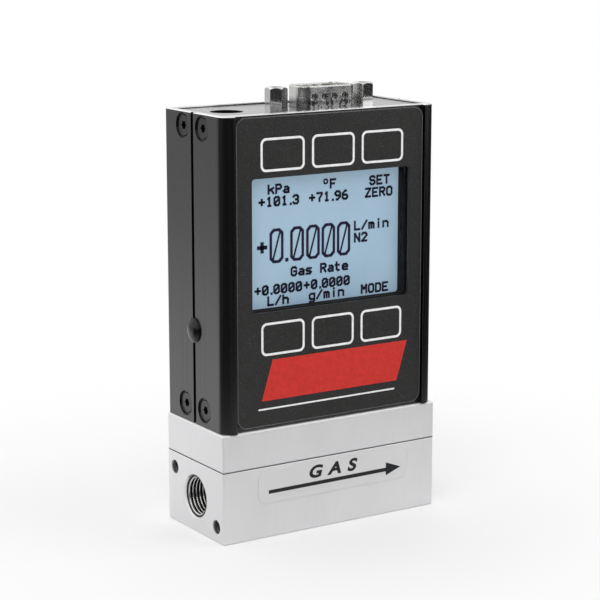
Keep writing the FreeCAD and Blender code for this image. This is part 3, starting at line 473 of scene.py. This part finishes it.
def dented_plating():
    """Tinned connector shell: bright above, with painted shade below, darker towards the bottom and in blots,
    and painted shade in the pressed dent hollows in front.
    """
    shade_bottom = DSUB_TOP - 3.7
    blot_bottom = DSUB_TOP - 3.3
    bright_bottom = DSUB_TOP - 2.5
    blot_half_w = 5.8
    blot_fade = 0.8
    dent_count = 4
    dent_pitch = 2.9
    dent_y = DSUB_Y - 4.2
    dent_z = DSUB_TOP - 2.55
    dent_r = 1.1
    dent_fade = 0.3
    dent_wander = 0.7
    rim_r = 0.5

    look = Look("connector_plating", (0.88, 0.88, 0.87), 0.20, 1.0)
    cloud = look.noise(300, 3.0, 0.6)
    place = look.axes(look.place)
    bright = look.drift(cloud, (0.84, 0.84, 0.83), (0.92, 0.92, 0.91))
    # Painted shade: the shell darkens towards the bottom
    height = look.spread(place["Z"], shade_bottom * MM, bright_bottom * MM)
    colour_with_low_shade = look.blend(height, grey(0.34), bright)

    # Painted shade: dark blots on the lower middle of the front
    below = look.spread(place["Z"], blot_bottom * MM, bright_bottom * MM, 1.0, 0.0)
    sideways = look.maths("ABSOLUTE", look.maths("SUBTRACT", place["X"], DSUB_X * MM))
    inside = look.spread(sideways, blot_half_w * MM, (blot_half_w + blot_fade) * MM, 1.0, 0.0)
    blots = look.spread(look.noise((1250, 1250, 900), 2.0, 0.6), 0.52, 0.58)
    blotted = look.maths("MULTIPLY", look.maths("MULTIPLY", blots, below), inside)
    colour_with_low_shade = look.blend(blotted, colour_with_low_shade, grey(0.06))

    near = 1.0
    for i in range(dent_count):
        dent_x = DSUB_X + (i - (dent_count - 1) / 2) * dent_pitch
        away = look.node("ShaderNodeVectorMath", operation="DISTANCE")
        away.inputs[1].default_value = (dent_x * MM, dent_y * MM, dent_z * MM)
        look.feed(away.inputs[0], look.place)
        near = look.maths("MINIMUM", near, away.outputs["Value"])
    ragged = look.maths("ADD", near, look.maths("MULTIPLY", look.noise(1500, 2.0), dent_wander * MM))
    # Painted shade: the pressed dents are darkened as if in shade
    dent_shade = look.spread(ragged, dent_r * MM, (dent_r + dent_fade) * MM, 0.9, 0.0)
    look.colour(look.blend(dent_shade, colour_with_low_shade, grey(0.05)))
    look.sheen(cloud, 0.17, 0.26)
    look.feed(look.shader["Normal"], look.bevel(rim_r))
    return look.mat


def port_thread_metal():
    """Cut thread of the ports: bright crests, and painted shade dark in the valleys."""
    bright_r = 4.52
    shade_r = 4.82
    wander = 0.12
    look = Look("thread_metal", grey(0.92), 0.22, 1.0)
    place = look.axes(look.place)
    height = look.maths("SUBTRACT", place["Z"], PORT_Z * MM)
    radius = look.maths("SQRT", look.maths("ADD", look.maths("MULTIPLY", height, height),
                                           look.maths("MULTIPLY", place["Y"], place["Y"])))
    ring = look.noise((900, 2600, 2600), 2.0)
    ragged = look.maths("ADD", radius, look.maths("MULTIPLY", ring, wander * MM))
    # Painted shade: the thread darkens from its crests towards the valleys
    look.colour(look.blend(look.spread(ragged, bright_r * MM, shade_r * MM), (0.93, 0.93, 0.92), grey(0.05)))
    look.sheen(ring, 0.16, 0.28)
    return look.mat


LOOKS = {
    "base": blasted_metal("base_metal", 0.88, 0.5, 0.6),
    "plate": brushed_metal("plate_metal", (0.42, 0.42, 0.4242), 0.20, 0.06),
    "thread": port_thread_metal(),
    # Dark grey of the tapped holes: painted shade inside the small holes, not the metal's own colour
    "tapped": moulded("tapped_hole_shade", grey(0.045), 0.30, 0.3, 0.01, 0.5),
    "steel": brushed_metal("inner_steel", grey(0.55), 0.30, 0.08),
    "screw": plated("side_screw_steel", (0.085, 0.085, 0.088), 0.30, 0.12),
    "jackscrew": plated("jackscrew_plating", (0.80, 0.80, 0.79), 0.10, 0.06),
    "connector": dented_plating(),
    "brass": plated("contact_gold", (0.80, 0.77, 0.69), 0.30),
    "standoff": plated("standoff_brass", (0.66, 0.50, 0.24), 0.30),
    "housing": housing_paint(),
    "plug": moulded("plug_black", grey(0.006), 0.16, 0.5, 0.003, 0.15),
    "insulator": moulded("insulator_black", (0.016, 0.016, 0.017), 0.45),
    "jack": moulded("jack_black", grey(0.005), 0.9, specular=0.02),
    "joint": moulded("joint_line", grey(0.10), 0.7),
    "rubber": moulded("seal_rubber", grey(0.022), 0.75),
    "film": overlay_film(),
    # Lighter grey of the film's edge: a painted highlight
    "film_edge_highlight": moulded("film_edge_highlight", grey(0.12), 0.25, 0.4, 0.004, specular=0.9),
    "circuit": moulded("circuit_film", (0.035, 0.035, 0.036), 0.5),
    "white": moulded("connector_white", (0.70, 0.68, 0.62), 0.45),
    "window": clear_window(),
    "bezel": moulded("display_frame", grey(0.016), 0.5),
    "lcd": display_face(),
    "backlight": moulded("backlight_white", (0.75, 0.77, 0.78), 0.5),
    "board": board_mask(),
    "chip": moulded("chip_black", (0.018, 0.018, 0.02), 0.5),
    "sensor": moulded("sensor_body", (0.62, 0.60, 0.55), 0.45),
    "label": moulded("label_foil", grey(0.69), 0.40, 0.35, 0.004, 0.02),
    "ink_white": ink("ink_white", (0.86, 0.87, 0.87)),
    "ink_black": ink("ink_black", (0.016, 0.017, 0.019), 0.6),
    "ink_red": ink("ink_red", (0.62, 0.030, 0.022)),
    "ink_lcd": ink("ink_display", (0.014, 0.009, 0.050)),
}

NODE_LOOKS = {
    "flow_body": "base", "sensor_block": "base", "laminar_element": "steel", "inlet_screen": "steel",
    "outlet_screen": "steel", "tap_seals": "rubber", "body_bolts": "steel", "front_shell": "housing",
    "rear_shell": "housing", "side_screws": "screw", "side_plug": "plug", "top_plate": "plate",
    "dsub_shell": "connector", "dsub_insulator": "insulator", "dsub_pins": "brass",
    "jackscrews": "jackscrew", "jackscrew_nuts": "steel", "power_jack_body": "jack",
    "power_jack_pin": "brass", "keypad_overlay": "film", "keypad_circuit": "circuit",
    "key_domes": "steel", "keypad_connector": "white", "display_window": "window",
    "lcd_frame": "bezel", "lcd_glass": "lcd", "lcd_backlight": "backlight", "display_board": "board",
    "board_standoffs": "standoff", "display_board_screw": "steel", "board_link_header": "insulator",
    "main_board": "board", "main_board_parts": "chip", "main_board_screws": "steel",
    "differential_pressure_sensor": "sensor", "sensor_screws": "steel",
    "absolute_pressure_sensor": "steel", "sensor_seals": "rubber", "temperature_probe": "steel",
    "flow_label": "label",
}
for node_name, node_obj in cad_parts.items():
    node_obj.data.materials[0] = LOOKS[NODE_LOOKS[node_name]]


# Shapes
def piece(name, verts, faces, look, smooth=False):
    """A mesh object that rides with the meter."""
    mesh = bpy.data.meshes.new(name)
    mesh.from_pydata([(x * MM, y * MM, z * MM) for x, y, z in verts], [], faces)
    mesh.update()
    work = bmesh.new()
    work.from_mesh(mesh)
    bmesh.ops.recalc_face_normals(work, faces=work.faces)
    work.to_mesh(mesh)
    work.free()
    for poly in mesh.polygons:
        poly.use_smooth = smooth
    obj = bpy.data.objects.new(name, mesh)
    bpy.context.scene.collection.objects.link(obj)
    mesh.materials.append(LOOKS[look])
    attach(obj, "root")


class Print:
    """Flat shapes drawn on the front, laid on a ground and given a small thickness towards -Y."""

    def __init__(self, ground_y, sink=PRINT_SINK, thickness=PRINT_THICKNESS):
        self.y_back = ground_y + sink
        self.y_front = self.y_back - thickness
        self.verts = []
        self.faces = []

    def add(self, outline):
        """One closed outline as a thin prism."""
        count = len(outline)
        back = len(self.verts)
        front = back + count
        for y in (self.y_back, self.y_front):
            self.verts += [(x, y, z) for x, z in outline]
        self.faces.append(tuple(range(back, front)))
        self.faces.append(tuple(range(front + count - 1, front - 1, -1)))
        for i in range(count):
            j = (i + 1) % count
            self.faces.append((back + i, back + j, front + j, front + i))

    def add_ring(self, outer, inner):
        """The band between two outlines with as many points each."""
        count = len(outer)
        back = len(self.verts)
        front = back + 2 * count
        for y in (self.y_back, self.y_front):
            self.verts += [(x, y, z) for x, z in outer + inner]
        for i in range(count):
            j = (i + 1) % count
            self.faces.append((back + i, back + j, back + count + j, back + count + i))
            self.faces.append((front + i, front + count + i, front + count + j, front + j))
            self.faces.append((back + i, front + i, front + j, back + j))
            self.faces.append((back + count + i, back + count + j, front + count + j, front + count + i))

    def dot(self, place, pen):
        """A square dot."""
        x, z = place
        half = pen / 2
        self.add([(x - half, z - half), (x + half, z - half), (x + half, z + half), (x - half, z + half)])

    def stroke(self, a, b, pen):
        """A straight stroke whose square ends reach a little past its two points."""
        length = math.hypot(b[0] - a[0], b[1] - a[1])
        ux, uz = (b[0] - a[0]) / length, (b[1] - a[1]) / length
        half = pen / 2
        reach = half * STROKE_REACH
        px, pz = a[0] - ux * reach, a[1] - uz * reach
        qx, qz = b[0] + ux * reach, b[1] + uz * reach
        wx, wz = uz * half, ux * half
        self.add([(px + wx, pz - wz), (qx + wx, qz - wz), (qx - wx, qz + wz), (px - wx, pz + wz)])

    def make(self, name, look):
        piece(name, self.verts, self.faces, look)


def rounded(box, r, steps=8):
    """Outline of a box with round corners."""
    x0, x1, z0, z1 = shrunk(box, r)
    out = []
    for cx, cz, start in ((x1, z0, -90), (x1, z1, 0), (x0, z1, 90), (x0, z0, 180)):
        for i in range(steps + 1):
            a = math.radians(start + 90 * i / steps)
            out.append((cx + r * math.cos(a), cz + r * math.sin(a)))
    return out


def cut_corners(box, cut):
    """Outline of a box with its corners cut off."""
    x0, x1, z0, z1 = box
    return [(x0 + cut, z0), (x1 - cut, z0), (x1, z0 + cut), (x1, z1 - cut),
            (x1 - cut, z1), (x0 + cut, z1), (x0, z1 - cut), (x0, z0 + cut)]


def leaning(box, lean):
    """Outline of a box whose top is moved to the right."""
    x0, x1, z0, z1 = box
    return [(x0, z0), (x1, z0), (x1 + lean, z1), (x0 + lean, z1)]


def around(x, z, half):
    """The square box about a point."""
    return x - half, x + half, z - half, z + half


# Threads in the holes
def thread(name, face, axis, look, slot, start, wall_r, crest_r, pitch, length, steps):
    """A ridge wound on the wall of a hole, inward from the face that it opens in, fading at both ends."""
    axis = Vector(axis)
    mouth = Vector(face) + axis * start
    side = axis.orthogonal().normalized()
    up = axis.cross(side)
    root_r = wall_r + ROOT_SINK
    shoulder_r = crest_r + (wall_r - crest_r) * SHOULDER_DROP
    profile = ((root_r, -ROOT_HALF), (shoulder_r, -CREST_HALF), (crest_r, 0), (shoulder_r, CREST_HALF),
               (root_r, ROOT_HALF))
    count = int((length - pitch) / pitch * steps)
    verts, faces = [], []
    for i in range(count + 1):
        turn = 2 * math.pi * i / steps
        outward = side * math.cos(turn) + up * math.sin(turn)
        fade = min(1.0, i / (FADE_IN_TURNS * steps), (count - i) / (FADE_OUT_TURNS * steps))
        for r, shift in profile:
            # No point stands out of the mouth, and the flattened ones keep their order
            depth = pitch * max(i / steps + shift, MOUTH_GAP * (shift + 1))
            verts.append(tuple(mouth + axis * depth + outward * (root_r - (root_r - r) * fade)))
    row = len(profile)
    for first in range(0, count * row, row):
        for i in range(row):
            j = (i + 1) % row
            faces.append((first + i, first + j, first + row + j, first + row + i))
    piece(name, verts, faces, look, smooth=True)


def hole_threads():
    """Threads of the ports, of the holes beside and below them, and of the jackscrews."""
    for side, label in ((-1, "inlet"), (1, "outlet")):
        inward = (-side, 0, 0)
        thread(label + "_port_thread", (side * HALF_W, 0, PORT_Z), inward,
               "thread", "base_metal", **PORT_THREAD)
        for end, where in ((-1, "lower"), (1, "upper")):
            y, z = -side * end * ACCESSORY_HOLE_Y, PORT_Z + end * ACCESSORY_HOLE_RISE
            thread(label + "_" + where + "_thread", (side * HALF_W, y, z), inward,
                   "tapped", "base_metal", **ACCESSORY_THREAD)
        thread(label + "_mount_thread", (side * MOUNT_HOLE_SPACING / 2, 0, 0), (0, 0, 1),
               "tapped", "base_metal", **MOUNT_THREAD)
        screw_x = DSUB_X + side * JACKSCREW_SPACING / 2
        thread(label + "_jackscrew_thread", (screw_x, DSUB_Y, JACKSCREW_TOP), (0, 0, -1),
               "jackscrew", "jackscrew_steel", **JACKSCREW_THREAD)


# Print on the keypad film
def key_outlines():
    """White outlines of the six keys."""
    keys = Print(FILM_Y, thickness=KEY_THICKNESS)
    for column in (-1, 0, 1):
        middle = KEY_X + column * KEY_PITCH
        for z0, z1 in KEY_ROWS:
            box = (middle - KEY_HALF_W, middle + KEY_HALF_W, z0, z1)
            keys.add_ring(rounded(box, KEY_CORNER), rounded(shrunk(box, KEY_PEN), KEY_INNER_CORNER))
    keys.make("key_outlines", "ink_white")


def overlay_edge():
    """The film's own edge as a thin bead, coloured lighter than the film as a painted highlight."""
    film = front_box("keypad_overlay")
    edge = Print(FILM_Y, BEAD_SINK, BEAD_THICKNESS)
    edge.add_ring(rounded(film, FILM_CORNER, 12), rounded(shrunk(film, BEAD_W), FILM_CORNER - BEAD_W, 12))
    edge.make("overlay_edge_bead", "film_edge_highlight")


def bands():
    """The plain red band and the white rule below it."""
    band = Print(FILM_Y)
    band.add(leaning(BAND_BOX, BAND_LEAN))
    band.make("front_band", "ink_red")
    rule = Print(FILM_Y)
    rule.add(leaning(RULE_BOX, RULE_LEAN))
    rule.make("front_rule", "ink_white")


# Display
def text_width(text):
    return sum(DOT_ADVANCE if letter == "." else ADVANCE for letter in text) - (ADVANCE - 4 * UNIT_X)


def write(layer, text, x, z):
    """Writes text from x to the right, standing on z. The sign ~ stands for a degree sign."""
    foot = z + PEN / 2 - 2 * UNIT_Z
    for letter in text:
        if letter == ".":
            layer.dot((x + UNIT_X, z + PEN / 2), DOT_PEN)
            x += DOT_ADVANCE
            continue
        if letter == "~":
            outer, inner = [rounded(around(x + 2 * UNIT_X, foot + 7 * UNIT_Z, half), corner, 4)
                            for half, corner in (DEGREE_RING, DEGREE_HOLE)]
            layer.add_ring(outer, inner)
        for line in GLYPHS.get(letter, "").split():
            points = [(x + int(line[i]) * UNIT_X, foot + int(line[i + 1]) * UNIT_Z)
                      for i in range(0, len(line), 2)]
            if len(points) == 1:
                layer.dot(points[0], PEN)
            for a, b in zip(points, points[1:]):
                layer.stroke(a, b, PEN)
        x += ADVANCE


def big_zero(layer, left):
    """A large zero with cut corners and a slash across it."""
    right = left + BIG_W
    box = (left, right, BIG_LOW, BIG_HIGH)
    layer.add_ring(cut_corners(box, BIG_CUT), cut_corners(shrunk(box, BIG_PEN), BIG_INNER_CUT))
    layer.stroke((left + SLASH_INSET_X, BIG_LOW + SLASH_INSET_Z),
                 (right - SLASH_INSET_X, BIG_HIGH - SLASH_INSET_Z), SLASH_PEN)


def display_readout():
    """Dark numbers and words on the display."""
    readout = Print(GLASS_Y)
    for text, middle, z in READOUT:
        write(readout, text, middle - text_width(text) / 2, z)
    for text, z in UNIT_TEXT:
        write(readout, text, UNIT_TEXT_X, z)
    for left in BIG_LEFTS:
        big_zero(readout, left)
    readout.dot(BIG_DOT, BIG_DOT_PEN)
    readout.stroke(*BIG_PLUS_LEVEL, BIG_PLUS_PEN)
    readout.stroke(*BIG_PLUS_UPRIGHT, BIG_PLUS_PEN)
    readout.make("display_readout", "ink_lcd")


def display_border():
    """The dark mask printed round the lit area."""
    border = Print(GLASS_Y, thickness=BORDER_THICKNESS)
    mask = shrunk(front_box("lcd_glass"), BORDER_GAP)
    border.add_ring(rounded(mask, BORDER_CORNER), rounded(DISPLAY_AREA, DISPLAY_AREA_CORNER))
    border.make("display_border", "bezel")


# Joint between the blocks
def block_joint():
    """A dark ring in the groove where the sensor block stands on the flow body."""
    verts, faces = [], []
    for z in (JOINT_Z - JOINT_HALF_H, JOINT_Z + JOINT_HALF_H):
        for inset in (JOINT_OUTER_INSET, JOINT_INNER_INSET):
            x, y = HALF_W - inset, HALF_D - inset
            verts += [(-x, -y, z), (x, -y, z), (x, y, z), (-x, y, z)]
    for i in range(4):
        j = (i + 1) % 4
        for a, b in ((0, 8), (8, 12), (12, 4), (4, 0)):
            faces.append((a + i, a + j, b + j, b + i))
    piece("block_joint_line", verts, faces, "joint")


# Print on the label
def label_arrow():
    """The arrow that shows which way the gas flows."""
    arrow = Print(LABEL_Y)
    arrow.add(ARROW)
    arrow.make("label_arrow", "ink_black")


def label_word():
    """The slanted bold word as thin solid letters that fill their box."""
    curve = bpy.data.curves.new("label_word", "FONT")
    curve.body = WORD
    curve.shear = WORD_SLANT
    curve.offset = WORD_BOLD
    curve.space_character = WORD_SPACING
    curve.extrude = 0.01
    holder = bpy.data.objects.new("label_word_curve", curve)
    bpy.context.scene.collection.objects.link(holder)
    bpy.context.view_layer.update()
    mesh = bpy.data.meshes.new_from_object(holder.evaluated_get(bpy.context.evaluated_depsgraph_get()))
    bpy.data.objects.remove(holder)
    x0, x1, z0, z1 = WORD_BOX
    across = [v.co.x for v in mesh.vertices]
    upward = [v.co.y for v in mesh.vertices]
    x_scale = (x1 - x0) / (max(across) - min(across))
    z_scale = (z1 - z0) / (max(upward) - min(upward))
    back = LABEL_Y + PRINT_SINK
    front = back - PRINT_THICKNESS
    verts = [(x0 + (v.co.x - min(across)) * x_scale, front if v.co.z > 0 else back,
              z0 + (v.co.y - min(upward)) * z_scale) for v in mesh.vertices]
    faces = [tuple(p.vertices) for p in mesh.polygons]
    bpy.data.meshes.remove(mesh)
    piece("label_word", verts, faces, "ink_black")


# Floor, room, lamps and camera
def floor():
    """White paper: lit near the meter, plain white further off, and dim in front where metal mirrors it."""
    mat = bpy.data.materials.new("floor_paper")
    paper = Graph(mat, "ShaderNodeOutputMaterial")
    spot = paper.node("ShaderNodeTexCoord").outputs["Object"]
    ray = paper.node("ShaderNodeLightPath").outputs
    length = paper.node("ShaderNodeVectorMath", operation="LENGTH")
    paper.feed(length.inputs[0], spot)
    away = length.outputs["Value"]
    place = paper.axes(spot)
    x_share = paper.maths("DIVIDE", place["X"], away)
    y_share = paper.maths("DIVIDE", place["Y"], away)

    far_front = paper.ease(x_share, -0.4, 0.6, 0.03, 0.025)
    front = paper.ease(away, 0.05, 0.22, 0.30, far_front)
    behind = paper.ease(away, 0.10, 0.60, 1.0, 0.55)
    mirrored = paper.mix(paper.ease(y_share, 0.62, 0.40, 0.0, 1.0), behind, front)
    glow = paper.node("ShaderNodeEmission")
    paper.feed(glow.inputs["Strength"], paper.mix(ray["Is Glossy Ray"], 1.0, mirrored))

    diffuse = paper.node("ShaderNodeBsdfDiffuse")
    paper.feed(diffuse.inputs["Color"], grey(0.90))
    seen = paper.maths("MAXIMUM", ray["Is Camera Ray"],
                       paper.maths("MAXIMUM", ray["Is Glossy Ray"], ray["Is Transmission Ray"]))
    plain_white = paper.ease(away, 0.03, 0.16, 0.35, 1.0)
    both = paper.node("ShaderNodeMixShader")
    paper.feed(both.inputs[0], paper.maths("MULTIPLY", plain_white, seen))
    paper.feed(both.inputs[1], diffuse.outputs[0])
    paper.feed(both.inputs[2], glow.outputs[0])
    paper.feed(paper.out.inputs["Surface"], both.outputs[0])

    half, below = 5.0, -0.00005
    mesh = bpy.data.meshes.new("floor")
    mesh.from_pydata([(-half, -half, below), (half, -half, below), (half, half, below), (-half, half, below)],
                     [], [(0, 1, 2, 3)])
    mesh.materials.append(mat)
    obj = bpy.data.objects.new("floor", mesh)
    bpy.context.scene.collection.objects.link(obj)


def room():
    """White where it is seen; its light is bright behind the meter and dim behind the camera."""
    world = bpy.data.worlds.new("room")
    bpy.context.scene.world = world
    walls = Graph(world, "ShaderNodeOutputWorld")
    back = walls.node("ShaderNodeBackground")
    walls.feed(back.inputs["Color"], grey(1.0))
    direction = walls.axes(walls.node("ShaderNodeTexCoord").outputs["Generated"])
    ray = walls.node("ShaderNodeLightPath").outputs
    seen = walls.maths("MAXIMUM", ray["Is Camera Ray"], ray["Is Transmission Ray"])
    light = walls.ease(direction["Y"], -0.55, 0.65, 0.10, 0.80)
    walls.feed(back.inputs["Strength"], walls.mix(seen, light, 1.0))
    walls.feed(walls.out.inputs["Surface"], back.outputs[0])


def area_lamp(name, place, size, watts):
    """A square lamp that faces the meter."""
    lamp = bpy.data.lights.new(name, "AREA")
    lamp.size = size
    lamp.energy = watts
    obj = bpy.data.objects.new(name, lamp)
    obj.location = place
    obj.rotation_euler = (Vector(LAMP_AIM) - Vector(place)).to_track_quat("-Z", "Y").to_euler()
    bpy.context.scene.collection.objects.link(obj)


def camera():
    """The photograph's view, without a shift of the lens."""
    cam = bpy.data.cameras.new("camera")
    cam.sensor_width = SENSOR_W
    cam.lens = FOCAL_PIXELS / PHOTO_W_PIXELS * SENSOR_W
    cam.clip_start = 0.01
    cam.clip_end = 50.0
    obj = bpy.data.objects.new("camera", cam)
    obj.location = CAMERA_PLACE
    obj.rotation_euler = (math.radians(90 - CAMERA_DOWN), 0, math.radians(CAMERA_TURN))
    bpy.context.scene.collection.objects.link(obj)
    bpy.context.scene.camera = obj


hole_threads()
key_outlines()
overlay_edge()
bands()
display_readout()
display_border()
block_joint()
label_arrow()
label_word()
floor()
room()
for lamp_values in LAMPS:
    area_lamp(*lamp_values)
camera()
bpy.context.scene.view_settings.view_transform = "Standard"
